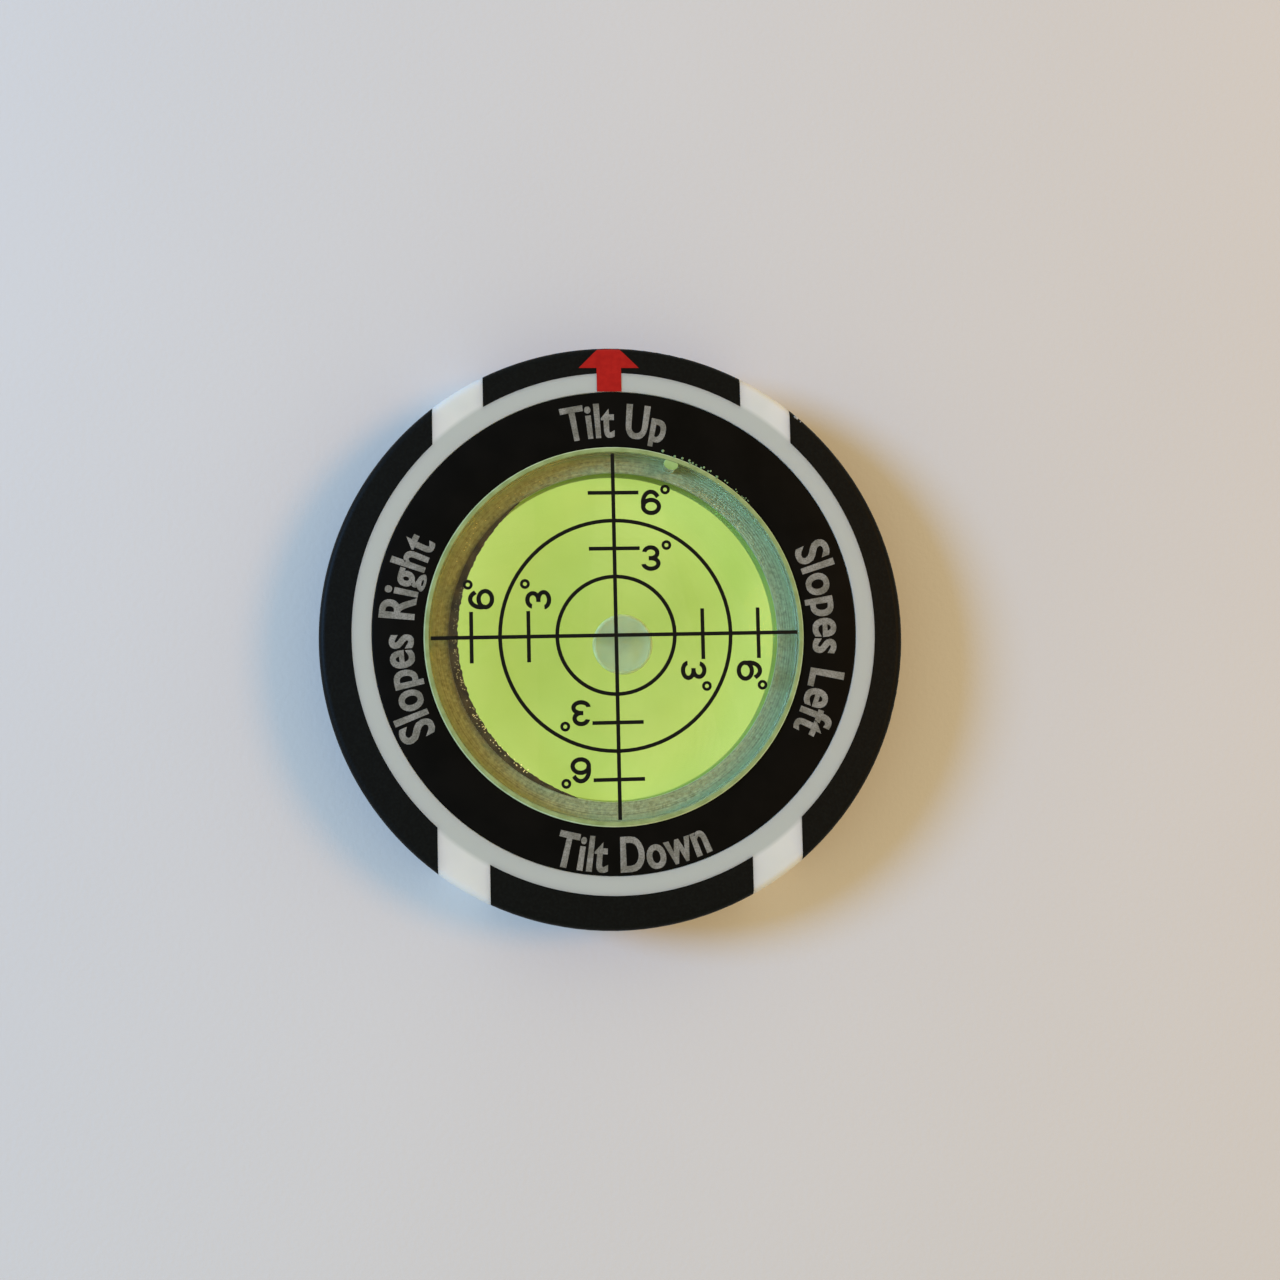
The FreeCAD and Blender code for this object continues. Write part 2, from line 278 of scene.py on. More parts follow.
def silverGreyInk():
    # grey pad-printed lettering ink: pale flakes in a matte binder, slightly patchy
    look = {"dark": "#7c7c75", "light": "#a3a39b", "flakeMm": 0.1,
            "patchDark": "#c8c8c0", "patchLight": "#ffffff", "patchMm": 0.7}
    material = newMaterial("silverGreyInk")
    tree = material.node_tree
    place = objectPlace(tree)
    flakes = twoTone(tree, place, look["flakeMm"], look["dark"], look["light"])
    patches = twoTone(tree, place, look["patchMm"], look["patchDark"], look["patchLight"])
    colour = put(tree, "ShaderNodeMix", {"Factor": 1.0}, {mixA: flakes, mixB: patches},
                 data_type="RGBA", blend_type="MULTIPLY")
    shader = put(tree, "ShaderNodeBsdfPrincipled", {"Roughness": 0.55},
                 {"Base Color": colour.outputs["Result"]})
    return closeMaterial(material, shader)


def blackScreenInk():
    # black screen ink on the lens, half glossy
    look = {"dark": "#050505", "light": "#0b0b0a", "mottleMm": 0.3, "weaveMm": 0.08, "weaveHeightMm": 0.003}
    material = newMaterial("blackScreenInk")
    tree = material.node_tree
    place = objectPlace(tree)
    colour = twoTone(tree, place, look["mottleMm"], look["dark"], look["light"])
    weave = grainBump(tree, place, look["weaveMm"], look["weaveHeightMm"])
    shader = put(tree, "ShaderNodeBsdfPrincipled", {"Roughness": 0.35, "IOR": 1.5, "Specular IOR Level": 0.2},
                 {"Base Color": colour, "Normal": weave})
    return closeMaterial(material, shader)


def clearAcrylic(name, tint, skinFromMm, wettedIor):
    # cast acrylic: clear and glossy. Its outer face bends and mirrors light as acrylic in air does; inside,
    # liquid or cement wets it, and acrylic against spirit hardly shows
    look = {"hazeMm": 3.0, "hazeHeightMm": 0.002}
    material = newMaterial(name)
    tree = material.node_tree
    place = objectPlace(tree)
    haze = grainBump(tree, place, look["hazeMm"], look["hazeHeightMm"])
    skin = put(tree, "ShaderNodeBsdfPrincipled",
               {"Base Color": hexColour(tint), "Roughness": 0.02, "IOR": 1.49, "Transmission Weight": 1.0},
               {"Normal": haze})
    wetted = put(tree, "ShaderNodeBsdfPrincipled",
                 {"Base Color": hexColour(tint), "Roughness": 0.0, "IOR": wettedIor,
                  "Transmission Weight": 1.0},
                 {"Normal": haze})
    height = put(tree, "ShaderNodeSeparateXYZ", links={"Vector": place})
    inside = put(tree, "ShaderNodeMath", {1: skinFromMm * mm}, {0: height.outputs["Z"]},
                 operation="LESS_THAN")
    shader = put(tree, "ShaderNodeMixShader", links={0: inside, 1: skin, 2: wetted})
    return closeMaterial(material, shader)


def tintedLiquid():
    # fluorescent yellow-green spirit: clear, and each of its surfaces takes out about half of the blue
    look = {"dark": "#e9f5b8", "light": "#f0f9c2", "cloudMm": 6.0}
    material = newMaterial("yellowGreenSpirit")
    tree = material.node_tree
    place = objectPlace(tree)
    colour = twoTone(tree, place, look["cloudMm"], look["dark"], look["light"])
    shader = put(tree, "ShaderNodeBsdfTransparent", links={"Color": colour})
    return closeMaterial(material, shader)


def airInLiquid():
    # trapped air: clear, with a painted reflection on its upper skin: a pale veil that turns white at the
    # rim as a painted highlight
    look = {"dark": "#c4cdec", "light": "#d8e0fc", "rim": "#ffffff", "mottleMm": 1.6,
            "veilShare": 0.42, "rimShare": 0.62,               # of the light
            "rimFrom": 0.93, "rimFull": 0.62, "upperTo": 0.1}   # upward part of the skin's direction
    material = newMaterial("trappedAir")
    tree = material.node_tree
    place = objectPlace(tree)
    colour = twoTone(tree, place, look["mottleMm"], look["dark"], look["light"])
    outward = put(tree, "ShaderNodeTexCoord").outputs["Normal"]
    lean = put(tree, "ShaderNodeSeparateXYZ", links={"Vector": outward}).outputs["Z"]
    # painted highlight: the veil turns white towards the rim
    atRim = put(tree, "ShaderNodeMapRange", {"From Min": look["rimFrom"], "From Max": look["rimFull"]},
                {"Value": lean})
    paler = put(tree, "ShaderNodeMix", {mixB: hexColour(look["rim"])}, {"Factor": atRim, mixA: colour},
                data_type="RGBA")
    veil = put(tree, "ShaderNodeBsdfPrincipled", {"Roughness": 0.3, "IOR": 1.36},
               {"Base Color": paler.outputs["Result"]})
    clear = put(tree, "ShaderNodeBsdfPrincipled",
                {"Roughness": 0.02, "IOR": 0.95, "Transmission Weight": 1.0})
    share = put(tree, "ShaderNodeMapRange", {"To Min": look["veilShare"], "To Max": look["rimShare"]},
                {"Value": atRim})
    above = put(tree, "ShaderNodeMath", {1: look["upperTo"]}, {0: lean}, operation="GREATER_THAN")
    veiled = put(tree, "ShaderNodeMath", links={0: share, 1: above}, operation="MULTIPLY")
    shader = put(tree, "ShaderNodeMixShader", links={0: veiled, 1: clear, 2: veil})
    return closeMaterial(material, shader)


def paintedGlowFilm(name, dark, light, glow, glowLight):
    # white film under fluorescent liquid: most of its light is a painted glow of its own, even and stronger
    # further out, so the walls hardly shade it: the glow stands in for the lamp light they shade off. The
    # marks round the gate are the same in darker tones
    look = {"mottleMm": 7.0, "fibreMm": 0.25, "fibreHeightMm": 0.004,
            "brighterFromMm": 6.0, "brighterToMm": 11.0}
    material = newMaterial(name)
    tree = material.node_tree
    place = objectPlace(tree)
    colour = twoTone(tree, place, look["mottleMm"], dark, light)
    fibre = grainBump(tree, place, look["fibreMm"], look["fibreHeightMm"])
    # painted light: the glow grows further out, where the walls' shade would fall
    brighter = put(tree, "ShaderNodeMapRange",
                   {"From Min": look["brighterFromMm"] * mm, "From Max": look["brighterToMm"] * mm},
                   {"Value": distanceFromAxis(tree, place)})
    shine = put(tree, "ShaderNodeMix", {mixA: hexColour(glow), mixB: hexColour(glowLight)},
                {"Factor": brighter}, data_type="RGBA")
    shader = put(tree, "ShaderNodeBsdfPrincipled", {"Roughness": 0.6, "Emission Strength": 1.0},
                 {"Base Color": colour, "Emission Color": shine.outputs["Result"], "Normal": fibre})
    return closeMaterial(material, shader)


def frostedTurned():
    # sawn and turned acrylic shoulder, wetted by cement: frosted, olive, with fine streaks round the axis.
    # Painted shade: on the -X side its inner edge is dark brown, with a ragged border. It also gives off a
    # faint painted glow
    look = {"dark": "#6e7248", "darkTo": 0.36, "light": "#b2bb86", "lightFrom": 0.64,
            "streakMm": 0.1, "frostMm": 0.22, "frostHeightMm": 0.05,
            "shadeBrown": "#4a4026", "shadeTowards": (-1.0, 0.1, 0.0), "shadeFrom": 0.3, "shadeFull": 0.8,
            "shadeInsideMm": 11.5, "shadeOutsideMm": 11.9, "raggedMm": 0.25,
            "green": "#8fa673", "greenShare": 0.55, "greenFromMm": 12.2, "greenToMm": 12.6,
            "glow": "#8fa832", "glowStrength": 0.05}
    material = newMaterial("frostedTurned")
    tree = material.node_tree
    place = objectPlace(tree)
    reach = distanceFromAxis(tree, place)
    across = put(tree, "ShaderNodeCombineXYZ", links={"X": reach})
    streaks = put(tree, "ShaderNodeTexNoise", {"Scale": perMetre(look["streakMm"]), "Detail": 3.0},
                  {"Vector": across})
    frost = put(tree, "ShaderNodeTexNoise", {"Scale": perMetre(look["frostMm"]), "Detail": 4.0},
                {"Vector": place})
    both = put(tree, "ShaderNodeMath", links={0: streaks, 1: frost}, operation="ADD")
    mixed = put(tree, "ShaderNodeMath", {1: 0.5}, {0: both}, operation="MULTIPLY")   # their mean
    ramp = put(tree, "ShaderNodeValToRGB", links={"Fac": mixed})
    stops = ((look["darkTo"], look["dark"]), (look["lightFrom"], look["light"]))
    for stop, (position, tone) in zip(ramp.color_ramp.elements, stops):
        stop.position = position
        stop.color = hexColour(tone)
    # painted shade: dark brown over the inner edge on the -X side
    outward = put(tree, "ShaderNodeVectorMath", links={0: place}, operation="NORMALIZE")
    facing = put(tree, "ShaderNodeVectorMath", {1: look["shadeTowards"]}, {0: outward}, operation="DOT_PRODUCT")
    side = put(tree, "ShaderNodeMapRange", {"From Min": look["shadeFrom"], "From Max": look["shadeFull"]},
               {"Value": facing.outputs["Value"]})
    ragged = put(tree, "ShaderNodeMath", {1: look["raggedMm"] * mm}, {0: frost, 2: reach},
                 operation="MULTIPLY_ADD")
    inner = put(tree, "ShaderNodeMapRange",
                {"From Min": look["shadeOutsideMm"] * mm, "From Max": look["shadeInsideMm"] * mm},
                {"Value": ragged})
    paintedShade = put(tree, "ShaderNodeMath", links={0: side, 1: inner}, operation="MULTIPLY")
    browned = put(tree, "ShaderNodeMix", {mixB: hexColour(look["shadeBrown"])}, {"Factor": paintedShade, mixA: ramp},
                  data_type="RGBA")
    outer = put(tree, "ShaderNodeMapRange",
                {"From Min": look["greenFromMm"] * mm, "From Max": look["greenToMm"] * mm,
                 "To Max": look["greenShare"]}, {"Value": reach})
    colour = put(tree, "ShaderNodeMix", {mixB: hexColour(look["green"])},
                 {"Factor": outer, mixA: browned.outputs["Result"]}, data_type="RGBA")
    bump = put(tree, "ShaderNodeBump", {"Strength": 0.6, "Distance": look["frostHeightMm"] * mm},
               {"Height": mixed})
    # its faint emission is a painted glow
    shader = put(tree, "ShaderNodeBsdfPrincipled",
                 {"Roughness": 0.4, "IOR": 1.49, "Specular IOR Level": 0.3,
                  "Emission Color": hexColour(look["glow"]), "Emission Strength": look["glowStrength"]},
                 {"Base Color": colour.outputs["Result"], "Normal": bump})
    return closeMaterial(material, shader)


def edgeGlow(name, dark, light, glow, strength, shine=0.5):
    # cut edges and beads of glue gather light from the whole vial; here they give some of it off as a
    # painted glow
    look = {"mottleMm": 0.9, "chatterMm": 0.12, "chatterHeightMm": 0.01}
    material = newMaterial(name)
    tree = material.node_tree
    place = objectPlace(tree)
    colour = twoTone(tree, place, look["mottleMm"], dark, light)
    chatter = grainBump(tree, place, look["chatterMm"], look["chatterHeightMm"])
    shader = put(tree, "ShaderNodeBsdfPrincipled",
                 {"Roughness": 0.3, "IOR": 1.49, "Specular IOR Level": shine,
                  "Emission Color": hexColour(glow), "Emission Strength": strength},
                 {"Base Color": colour, "Normal": chatter})
    return closeMaterial(material, shader)


def palePaper():
    # plain matte studio card
    look = {"dark": "#e3e2e0", "light": "#e6e5e3", "mottleMm": 60.0, "fibreMm": 0.4, "fibreHeightMm": 0.02}
    material = newMaterial("paleCard")
    tree = material.node_tree
    place = objectPlace(tree)
    colour = twoTone(tree, place, look["mottleMm"], look["dark"], look["light"])
    fibre = grainBump(tree, place, look["fibreMm"], look["fibreHeightMm"])
    shader = put(tree, "ShaderNodeBsdfPrincipled", {"Roughness": 0.85, "Specular IOR Level": 0.2},
                 {"Base Color": colour, "Normal": fibre})
    return closeMaterial(material, shader)


white = whiteAbsMoulded()
blackGrain = blackAbsGrained()
blackInlay = blackInlayMatte()
redInk = redPadInk()
greyInk = silverGreyInk()
blackInk = blackScreenInk()
lensAcrylic = clearAcrylic("lensAcrylic", tint="#fdfefb", skinFromMm=5.9, wettedIor=1.09)
cupAcrylic = clearAcrylic("cupAcrylic", tint="#f6fbea", skinFromMm=6.1, wettedIor=1.05)
liquidTint = tintedLiquid()
air = airInLiquid()
film = paintedGlowFilm("paintedGlowFilm", "#84887a", "#8e9186", glow="#b0b59f", glowLight="#bcc3b4")
gateStress = paintedGlowFilm("gateStress", "#14180c", "#1c2010", glow="#0a0d06", glowLight="#0a0d06")
gateBlush = paintedGlowFilm("gateBlush", "#4c5040", "#565a46", glow="#787d54", glowLight="#787d54")
frosted = frostedTurned()
rimGlow = edgeGlow("litRimAcrylic", "#7c8f54", "#98ac70", glow="#b4c884", strength=0.09)
plugGlow = edgeGlow("curedPlugResin", "#8cb05e", "#a6c67e", glow="#a8d080", strength=0.08)
glueGlow = edgeGlow("strayGlue", "#58764e", "#86a878", glow="#a8d890", strength=0.05)
paleGlue = edgeGlow("pottingGlue", "#a4b88c", "#bccca6", glow="#d0e4a8", strength=0.2)
# the sparkles are cement crumbs drawn as painted glints: pale and glowing
sparkle = edgeGlow("cementSparkle", "#d8c878", "#fff2b0", glow="#ffe680", strength=0.45)
brownCrescentFinish = edgeGlow("brownCrescent", "#2a2010", "#4e3e1e", glow="#8f8040", strength=0.02, shine=0.1)
card = palePaper()
print("finishes made")

plainNodes = {
    "chip_body": white, "edge_band_up": blackGrain, "edge_band_down": blackGrain,
    "edge_band_left": blackGrain, "edge_band_right": blackGrain, "uphill_arrow": redInk,
    "reflector_disc": film, "vial_glue": paleGlue, "vial_cup": cupAcrylic, "fill_plug": plugGlow,
    "vial_lens": lensAcrylic, "crosshair": blackInk, "inner_circle": blackInk, "outer_circle": blackInk,
    "degree_ticks": blackInk, "three_numerals": blackInk, "six_numerals": blackInk,
    "degree_signs": blackInk, "air_bubble": air,
}
for nodeName, finish in plainNodes.items():
    for nodeSlot in nodes[nodeName].material_slots:
        nodeSlot.material = finish
for nodeName in ("vial_lens", "vial_cup", "air_bubble"):
    nodes[nodeName].visible_shadow = False   # clear pieces let the lamps through
print("solids dressed")

inlay = {"edgeSoftMm": 0.12, "edgeSteps": 5, "boreGapMm": 0.01}


def inlayRing(node, name):
    # its bore is round the vial and its rim round the moulding, so it is turned once and its rim moved
    low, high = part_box(node)
    centre = (low + high) / 2
    outer = (high.x - low.x) / 2
    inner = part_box("vial_glue")[1].x + inlay["boreGapMm"] * mm
    corners = [(inner, low.z), (outer, low.z), (outer, high.z), (inner, high.z)]
    mesh = lathe(name, rounded(corners, inlay["edgeSoftMm"] * mm, inlay["edgeSteps"]))
    for vertex in mesh.vertices:
        reach = math.hypot(vertex.co.x, vertex.co.y)
        share = (reach - inner) / (outer - inner)
        vertex.co.x += share * centre.x
        vertex.co.y += share * centre.y
    meshPiece(name, mesh, blackInlay, replaces=(node,))


inlayRing("face_ring", "faceInlay")
inlayRing("back_ring", "backInlay")
print("inlays turned")

lettering = {
    "capHeightMm": 2.4, "baseRadiusMm": 13.65, "inkMm": 0.02, "curveSteps": 5, "spacing": 1.06,
    "descent": 0.45,     # share of the depth of strokes below the line that is kept
    "bold": 0.02,        # all round, in the font's units
    "stemMm": 0.036,     # more on each side of the upright strokes, which the condensing thins
    "weld": 1e-5,        # closer points of the font become one, in the font's units
    "sideTilt": 0.5,     # a face that looks up or down less than this is a stroke's side
    "words": [   # text, middle of the word and its span in degrees, tops outwards
        ("Tilt Up", 89.0, 28.0, True),
        ("Tilt Down", 273.0, 40.0, False),
        ("Slopes Right", 179.5, 55.0, True),
        ("Slopes Left", -2.0, 53.0, True),
    ],
}


def fontMesh(text):
    words = bpy.data.curves.new("word", "FONT")
    words.body = text
    words.offset = lettering["bold"]
    words.space_character = lettering["spacing"]
    words.resolution_u = lettering["curveSteps"]
    words.extrude = 0.5   # any depth, since wordBuild sets the ink's own
    holder = bpy.data.objects.new("word", words)
    bpy.context.scene.collection.objects.link(holder)
    reading = bpy.context.evaluated_depsgraph_get()
    mesh = bpy.data.meshes.new_from_object(holder.evaluated_get(reading), depsgraph=reading)
    bpy.data.objects.remove(holder)
    return mesh


def wordBuild(text, width):
    # a condensed bold word in millimetres, its capitals standing on the X axis between 0 and width
    capital = fontMesh("H")
    low = min(v.co.y for v in capital.vertices)
    tall = max(v.co.y for v in capital.vertices) - low
    build = bmesh.new()
    build.from_mesh(fontMesh(text))
    bmesh.ops.remove_doubles(build, verts=build.verts, dist=lettering["weld"])
    bmesh.ops.recalc_face_normals(build, faces=build.faces)
    left = min(v.co.x for v in build.verts)
    right = max(v.co.x for v in build.verts)
    stem = lettering["stemMm"]
    for vertex in build.verts:
        rise = (vertex.co.y - low) / tall * lettering["capHeightMm"]
        vertex.co.x = stem + (vertex.co.x - left) / (right - left) * (width - 2 * stem)
        vertex.co.y = rise * lettering["descent"] if rise < 0 else rise
        vertex.co.z = lettering["inkMm"] if vertex.co.z > 0 else 0
    build.normal_update()
    shifts = {}
    for vertex in build.verts:
        sides = [face.normal.x for face in vertex.link_faces if abs(face.normal.z) < lettering["sideTilt"]]
        shifts[vertex] = stem * max(sides, key=abs) if sides else 0
    for vertex, shift in shifts.items():
        vertex.co.x += shift
    return build


def ringWord(text, middle, span, topsOut):
    # bends the word round the face, standing outwards or inwards
    base, cap = lettering["baseRadiusMm"], lettering["capHeightMm"]
    waist = base + cap / 2
    width = math.radians(span) * waist
    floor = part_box("face_ring")[1].z / mm
    build = wordBuild(text, width)
    for vertex in build.verts:
        along = (vertex.co.x - width / 2) / waist
        angle = math.radians(middle) + (-along if topsOut else along)
        reach = base + vertex.co.y if topsOut else base + cap - vertex.co.y
        vertex.co = Vector((reach * math.cos(angle), reach * math.sin(angle), floor + vertex.co.z)) * mm
    bmesh.ops.recalc_face_normals(build, faces=build.faces)
    name = "word" + text.replace(" ", "")
    mesh = bpy.data.meshes.new(name)
    build.to_mesh(mesh)
    build.free()
    meshPiece(name, mesh, greyInk)


for word in lettering["words"]:
    ringWord(*word)
print("direction words printed")

vial = {
    "playMm": 0.05,          # the liquid and the bubble are drawn this much clear of bore and dome
    "filmGapMm": 0.002,      # added films keep this far off the solids beside them
    "ridges": 7, "ridgeFootMm": 0.006, "ridgeShare": 0.92,   # share of a ridge's pitch that its slope takes
    "rimWallMm": 0.26, "rimInsetMm": 0.01, "rimFilmMm": 0.03, "rimSoftMm": 0.02,
    "liquidGapMm": 0.02, "liquidFloorMm": 2.03, "liquidBevelMm": 0.05, "domeSteps": 12,
}
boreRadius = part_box("level_liquid")[1].x + vial["playMm"] * mm
# the bubble's joint turns about the centre of the lens's dome
domeCentre = next(joint for joint in frame["joints"] if joint["name"] == "bubble_travel")["pos_m"][2]
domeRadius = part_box("air_bubble")[1].z + vial["playMm"] * mm - domeCentre


def domeHeight(radius, reach):
    # height of a dome of that radius, at that distance from the axis
    return domeCentre + math.sqrt(radius ** 2 - reach ** 2)


def turnedShoulder():
    # the cement film between lens and cup, with the turning marks of the seat pressed into it as saw teeth
    low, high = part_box("lens_cement")
    pitch = (high.x - boreRadius) / vial["ridges"]
    bottom = low.z + vial["filmGapMm"] * mm
    foot = bottom + vial["ridgeFootMm"] * mm
    top = high.z - vial["filmGapMm"] * mm
    outline = [(high.x, bottom), (boreRadius, bottom)]
    for ridge in range(vial["ridges"]):
        outline.append((boreRadius + pitch * ridge, foot))
        outline.append((boreRadius + pitch * (ridge + vial["ridgeShare"]), top))
    mesh = lathe("turnedShoulder", outline)
    meshPiece("turnedShoulder", mesh, frosted, replaces=("lens_cement",))


def litRim():
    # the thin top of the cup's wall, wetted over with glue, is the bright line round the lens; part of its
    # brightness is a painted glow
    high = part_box("vial_cup")[1]
    inner = high.x - vial["rimWallMm"] * mm
    outer = high.x - vial["rimInsetMm"] * mm
    bottom = high.z + vial["filmGapMm"] * mm
    top = high.z + vial["rimFilmMm"] * mm
    corners = [(inner, bottom), (outer, bottom), (outer, top), (inner, top)]
    mesh = lathe("litRim", rounded(corners, vial["rimSoftMm"] * mm))
    meshPiece("litRim", mesh, rimGlow)


def spirit():
    # the liquid fills the chamber up to the lens's dome
    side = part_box("level_liquid")[1].x
    skin = domeRadius - vial["liquidGapMm"] * mm
    floor = vial["liquidFloorMm"] * mm   # just over the gate's marks
    bevel = vial["liquidBevelMm"] * mm
    outline = [(0, floor), (side - bevel, floor), (side, floor + bevel)]
    for step in range(vial["domeSteps"] + 1):
        reach = side * (1 - step / vial["domeSteps"])
        outline.append((reach, domeHeight(skin, reach)))
    mesh = lathe("spirit", outline)
    piece = meshPiece("spirit", mesh, liquidTint, "liquid", replaces=("level_liquid",))
    piece.visible_shadow = False


crescent = {
    "middleDegrees": 190, "halfSpanDegrees": 66, "steps": 160, "domeGapMm": 0.006, "boreGapMm": 0.004,
    "widthMm": 0.62, "tipWidthMm": 0.02, "widthPower": 0.7, "depthMm": 0.16, "leastDepthShare": 0.1,
    "raggedMm": 0.05, "waves": ((37, 0), (91, 1), (173, 0)),   # waves round the axis, and their shifts
    # round its section, as shares of the width inwards and of the depth downwards
    "section": ((0, 0), (0.5, 0), (1, 0), (0.75, 0.35), (0.4, 0.7), (0, 1)),
}


def brownCrescent():
    # a dark brown crescent past the bore on one side, under the lens's edge
    mesh = bpy.data.meshes.new("brownCrescent")
    build = bmesh.new()
    sections = []
    for step in range(crescent["steps"] + 1):
        along = 2 * step / crescent["steps"] - 1
        angle = math.radians(crescent["middleDegrees"] + crescent["halfSpanDegrees"] * along)
        coarse, middling, fine = (math.sin(wave * angle + shift) for wave, shift in crescent["waves"])
        ragged = coarse * middling + 0.5 * fine
        taper = 1 - along ** 2
        smooth = crescent["widthMm"] * taper ** crescent["widthPower"]
        width = (smooth + crescent["raggedMm"] * ragged * taper ** 0.5 + crescent["tipWidthMm"]) * mm
        depth = crescent["depthMm"] * mm * max(taper, crescent["leastDepthShare"])
        ring = []
        for share, sunk in crescent["section"]:
            reach = boreRadius - crescent["boreGapMm"] * mm - width * share
            height = domeHeight(domeRadius, reach) - crescent["domeGapMm"] * mm - depth * sunk
            ring.append(build.verts.new((reach * math.cos(angle), reach * math.sin(angle), height)))
        sections.append(ring)
    for here, after in zip(sections, sections[1:]):
        for point in range(len(here)):
            beside = (point + 1) % len(here)
            build.faces.new((here[point], here[beside], after[beside], after[point]))
    build.faces.new(sections[0])
    build.faces.new(list(reversed(sections[-1])))
    bmesh.ops.recalc_face_normals(build, faces=build.faces)
    build.to_mesh(mesh)
    build.free()
    smoothByAngle(mesh, 50)
    meshPiece("brownCrescent", mesh, brownCrescentFinish)


turnedShoulder()
litRim()
spirit()
brownCrescent()
print("vial filled")


def ringTree():
    # evenly spaced rings of round wire about one point
    tree, given = growTree("ringsRoundPoint", [
        ("Count", "Int"), ("First Radius", "Float"), ("Pitch", "Float"), ("Wire", "Float"),
        ("Centre", "Vector"), ("Material", "Material")])
    points = put(tree, "GeometryNodePoints", links={"Count": given["Count"], "Position": given["Centre"]})
    index = put(tree, "GeometryNodeInputIndex")
    step = put(tree, "ShaderNodeMath", links={0: index, 1: given["Pitch"]}, operation="MULTIPLY")
    radius = put(tree, "ShaderNodeMath", links={0: given["First Radius"], 1: step}, operation="ADD")
    circle = put(tree, "GeometryNodeCurvePrimitiveCircle", {"Resolution": 48, "Radius": 1.0})
    copies = put(tree, "GeometryNodeInstanceOnPoints",
                 links={"Points": points, "Instance": circle, "Scale": radius})
    real = put(tree, "GeometryNodeRealizeInstances", links={"Geometry": copies})
    section = put(tree, "GeometryNodeCurvePrimitiveCircle", {"Resolution": 8}, {"Radius": given["Wire"]})
    wire = put(tree, "GeometryNodeCurveToMesh", links={"Curve": real, "Profile Curve": section})
    dressed = put(tree, "GeometryNodeSetMaterial", links={"Geometry": wire, "Material": given["Material"]})
    put(tree, "NodeGroupOutput", links={"Geometry": dressed})
    return tree


gateMiddleMm = (0.42, -0.14, 1.95)   # where the cup's moulding gate was trimmed
gateRings = {
    # name: finish, count, first radius, pitch and wire radius in millimetres
    "gateScar": (gateStress, 1, 0.25, 0.1, 0.062),
    "gateFlowRings": (gateBlush, 4, 0.47, 0.11, 0.034),
}
rings = ringTree()
for name, (finish, count, first, pitch, wire) in gateRings.items():
    marks = harvest(rings, name, {
        "Count": count, "First Radius": first * mm, "Pitch": pitch * mm, "Wire": wire * mm,
        "Centre": [value * mm for value in gateMiddleMm], "Material": finish})
    meshPiece(name, marks, finish)
print("gate marked")


crumbShape = {"lumpScale": 1.3, "lumpDepth": 0.8}   # for a ball of radius 1
randomMin, randomMax, randomTop = 2, 3, 1   # the Random Value node's float limits, and its upper vector limit
randomFloat = 1                             # its float output


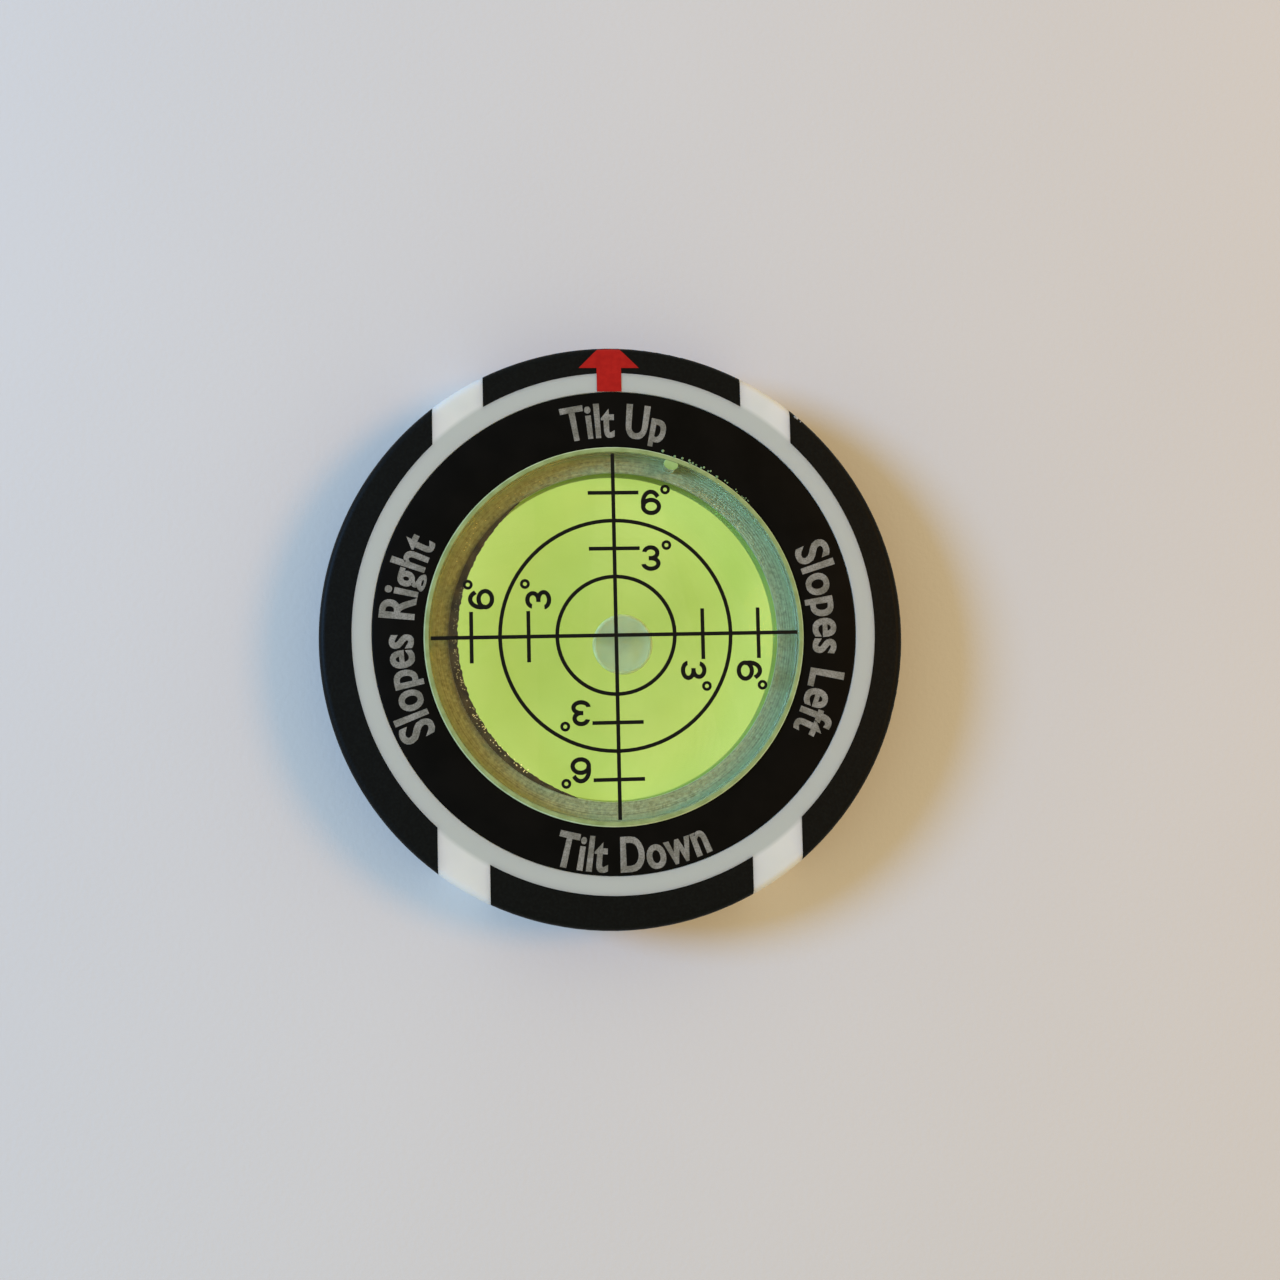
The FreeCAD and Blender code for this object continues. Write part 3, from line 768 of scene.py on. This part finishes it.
def crumbTree():
    # uneven crumbs scattered along an arc
    tree, given = growTree("crumbsOnArc", [
        ("Count", "Int"), ("Radius", "Float"), ("Spread", "Float"), ("Height", "Float"), ("Start", "Float"),
        ("Sweep", "Float"), ("Smallest", "Float"), ("Largest", "Float"), ("Flatness", "Float"),
        ("Seed", "Int"), ("Material", "Material")])
    end = put(tree, "ShaderNodeMath", links={0: given["Start"], 1: given["Sweep"]}, operation="ADD")
    angle = put(tree, "FunctionNodeRandomValue",
                links={randomMin: given["Start"], randomMax: end, "Seed": given["Seed"]})
    inner = put(tree, "ShaderNodeMath", links={0: given["Radius"], 1: given["Spread"]}, operation="SUBTRACT")
    outer = put(tree, "ShaderNodeMath", links={0: given["Radius"], 1: given["Spread"]}, operation="ADD")
    # another seed, so that a crumb's distance doesn't follow its angle
    radiusSeed = put(tree, "ShaderNodeMath", {1: 11.0}, {0: given["Seed"]}, operation="ADD")
    reach = put(tree, "FunctionNodeRandomValue",
                links={randomMin: inner, randomMax: outer, "Seed": radiusSeed})
    turn = angle.outputs[randomFloat]
    out = reach.outputs[randomFloat]
    cosine = put(tree, "ShaderNodeMath", links={0: turn}, operation="COSINE")
    across = put(tree, "ShaderNodeMath", links={0: cosine, 1: out}, operation="MULTIPLY")
    sine = put(tree, "ShaderNodeMath", links={0: turn}, operation="SINE")
    along = put(tree, "ShaderNodeMath", links={0: sine, 1: out}, operation="MULTIPLY")
    place = put(tree, "ShaderNodeCombineXYZ", links={"X": across, "Y": along, "Z": given["Height"]})
    points = put(tree, "GeometryNodePoints", links={"Count": given["Count"], "Position": place})
    ball = put(tree, "GeometryNodeMeshIcoSphere", {"Radius": 1.0, "Subdivisions": 2})
    lumps = put(tree, "ShaderNodeTexNoise", {"Scale": crumbShape["lumpScale"], "Detail": 2.0})
    # the noise runs from 0 to 1 about a middle of 0.5
    evened = put(tree, "ShaderNodeVectorMath", {1: (0.5, 0.5, 0.5)}, {0: lumps.outputs["Color"]},
                 operation="SUBTRACT")
    swell = put(tree, "ShaderNodeVectorMath", {"Scale": crumbShape["lumpDepth"]}, {0: evened},
                operation="SCALE")
    crumb = put(tree, "GeometryNodeSetPosition", links={"Geometry": ball, "Offset": swell})
    drawn = put(tree, "FunctionNodeRandomValue",
                links={randomMin: given["Smallest"], randomMax: given["Largest"], "Seed": given["Seed"]})
    size = drawn.outputs[randomFloat]
    thin = put(tree, "ShaderNodeMath", links={0: size, 1: given["Flatness"]}, operation="MULTIPLY")
    scale = put(tree, "ShaderNodeCombineXYZ", links={"X": size, "Y": size, "Z": thin})
    spin = put(tree, "FunctionNodeRandomValue", {randomTop: (0.0, 0.0, math.tau)}, {"Seed": given["Seed"]},
               data_type="FLOAT_VECTOR")
    scattered = put(tree, "GeometryNodeInstanceOnPoints",
                    links={"Points": points, "Instance": crumb, "Rotation": spin, "Scale": scale})
    real = put(tree, "GeometryNodeRealizeInstances", links={"Geometry": scattered})
    dressed = put(tree, "GeometryNodeSetMaterial", links={"Geometry": real, "Material": given["Material"]})
    put(tree, "NodeGroupOutput", links={"Geometry": dressed})
    return tree


crumbRows = {
    # name: finish, slot, count, radius, spread and height in millimetres, start and sweep in degrees,
    # smallest and largest in millimetres, flatness, seed
    "strayGlueBeads": (glueGlow, "clear_glue", 26, 13.08, 0.1, 5.99, 40, 36, 0.03, 0.11, 0.35, 4),
    # the cement sparkles are painted glints
    "cementSparkles": (sparkle, "clear_glue", 110, 11.0, 0.16, 4.39, 158, 78, 0.012, 0.04, 0.35, 2),
    "cementSparklesUpper": (sparkle, "clear_glue", 30, 12.05, 0.4, 4.31, 95, 60, 0.01, 0.035, 0.35, 9),
    "edgeNickUpperRight": (white, "white_abs", 7, 19.72, 0.12, 5.88, 47.5, 2.2, 0.05, 0.12, 0.5, 3),
    "edgeNickLower": (white, "white_abs", 5, 19.75, 0.08, 5.86, 266, 3.5, 0.03, 0.08, 0.5, 8),
}
crumbs = crumbTree()
for name, row in crumbRows.items():
    finish, slotName, count, radius, spread, height, start, sweep, small, large, flat, seed = row
    grains = harvest(crumbs, name, {
        "Count": count, "Radius": radius * mm, "Spread": spread * mm, "Height": height * mm,
        "Start": math.radians(start), "Sweep": math.radians(sweep), "Smallest": small * mm,
        "Largest": large * mm, "Flatness": flat, "Seed": seed, "Material": finish})
    meshPiece(name, grains, finish)
print("crumbs scattered")


def stageFloor():
    # a wide card under the marker
    mesh = bpy.data.meshes.new("cardFloor")
    build = bmesh.new()
    bmesh.ops.create_grid(build, x_segments=4, y_segments=4, size=2.0)
    build.to_mesh(mesh)
    build.free()
    floor = bpy.data.objects.new("cardFloor", mesh)
    bpy.context.scene.collection.objects.link(floor)
    mesh.materials.append(card)


def softLight(name, azimuth, elevation, distance, size, watts, colour):
    lamp = bpy.data.lights.new(name, "AREA")
    lamp.shape = "DISK"
    lamp.size = size
    lamp.energy = watts
    lamp.color = colour
    holder = bpy.data.objects.new(name, lamp)
    turn, lift = math.radians(azimuth), math.radians(elevation)
    direction = Vector((math.cos(lift) * math.cos(turn), math.cos(lift) * math.sin(turn), math.sin(lift)))
    holder.location = direction * distance
    holder.rotation_euler = direction.to_track_quat("Z", "Y").to_euler()
    bpy.context.scene.collection.objects.link(holder)


def studio():
    # a cool window, a warm lamp and the room's even light
    lights = {   # azimuth and elevation in degrees, distance and size in metres, watts, colour
        "coolWindow": (167, 36, 0.45, 0.143, 1.58, (0.23, 0.51, 1.0)),
        "warmLamp": (10, 49, 0.40, 0.12, 0.435, (1.0, 0.41, 0.01)),
    }
    for name, values in lights.items():
        softLight(name, *values)
    world = bpy.data.worlds.new("studioAir")
    world.use_nodes = True
    world.node_tree.nodes.clear()
    room = put(world.node_tree, "ShaderNodeBackground", {"Color": (0.48, 0.46, 0.325, 1), "Strength": 1.0})
    put(world.node_tree, "ShaderNodeOutputWorld", links={"Surface": room})
    bpy.context.scene.world = world
    bpy.context.scene.view_settings.view_transform = "Standard"


def takeCamera():
    shot = {"placeMm": (-6.071, -5.773, 93.816), "turnDegrees": (3.637, -4.933, -1.318), "lensMm": 36.37}
    camera = bpy.data.cameras.new("camera")
    camera.sensor_width = 36
    camera.lens = shot["lensMm"]
    camera.clip_start = 0.001
    holder = bpy.data.objects.new("camera", camera)
    holder.location = [value * mm for value in shot["placeMm"]]
    holder.rotation_euler = [math.radians(value) for value in shot["turnDegrees"]]
    bpy.context.scene.collection.objects.link(holder)
    bpy.context.scene.camera = holder


stageFloor()
studio()
takeCamera()
print("stage set")
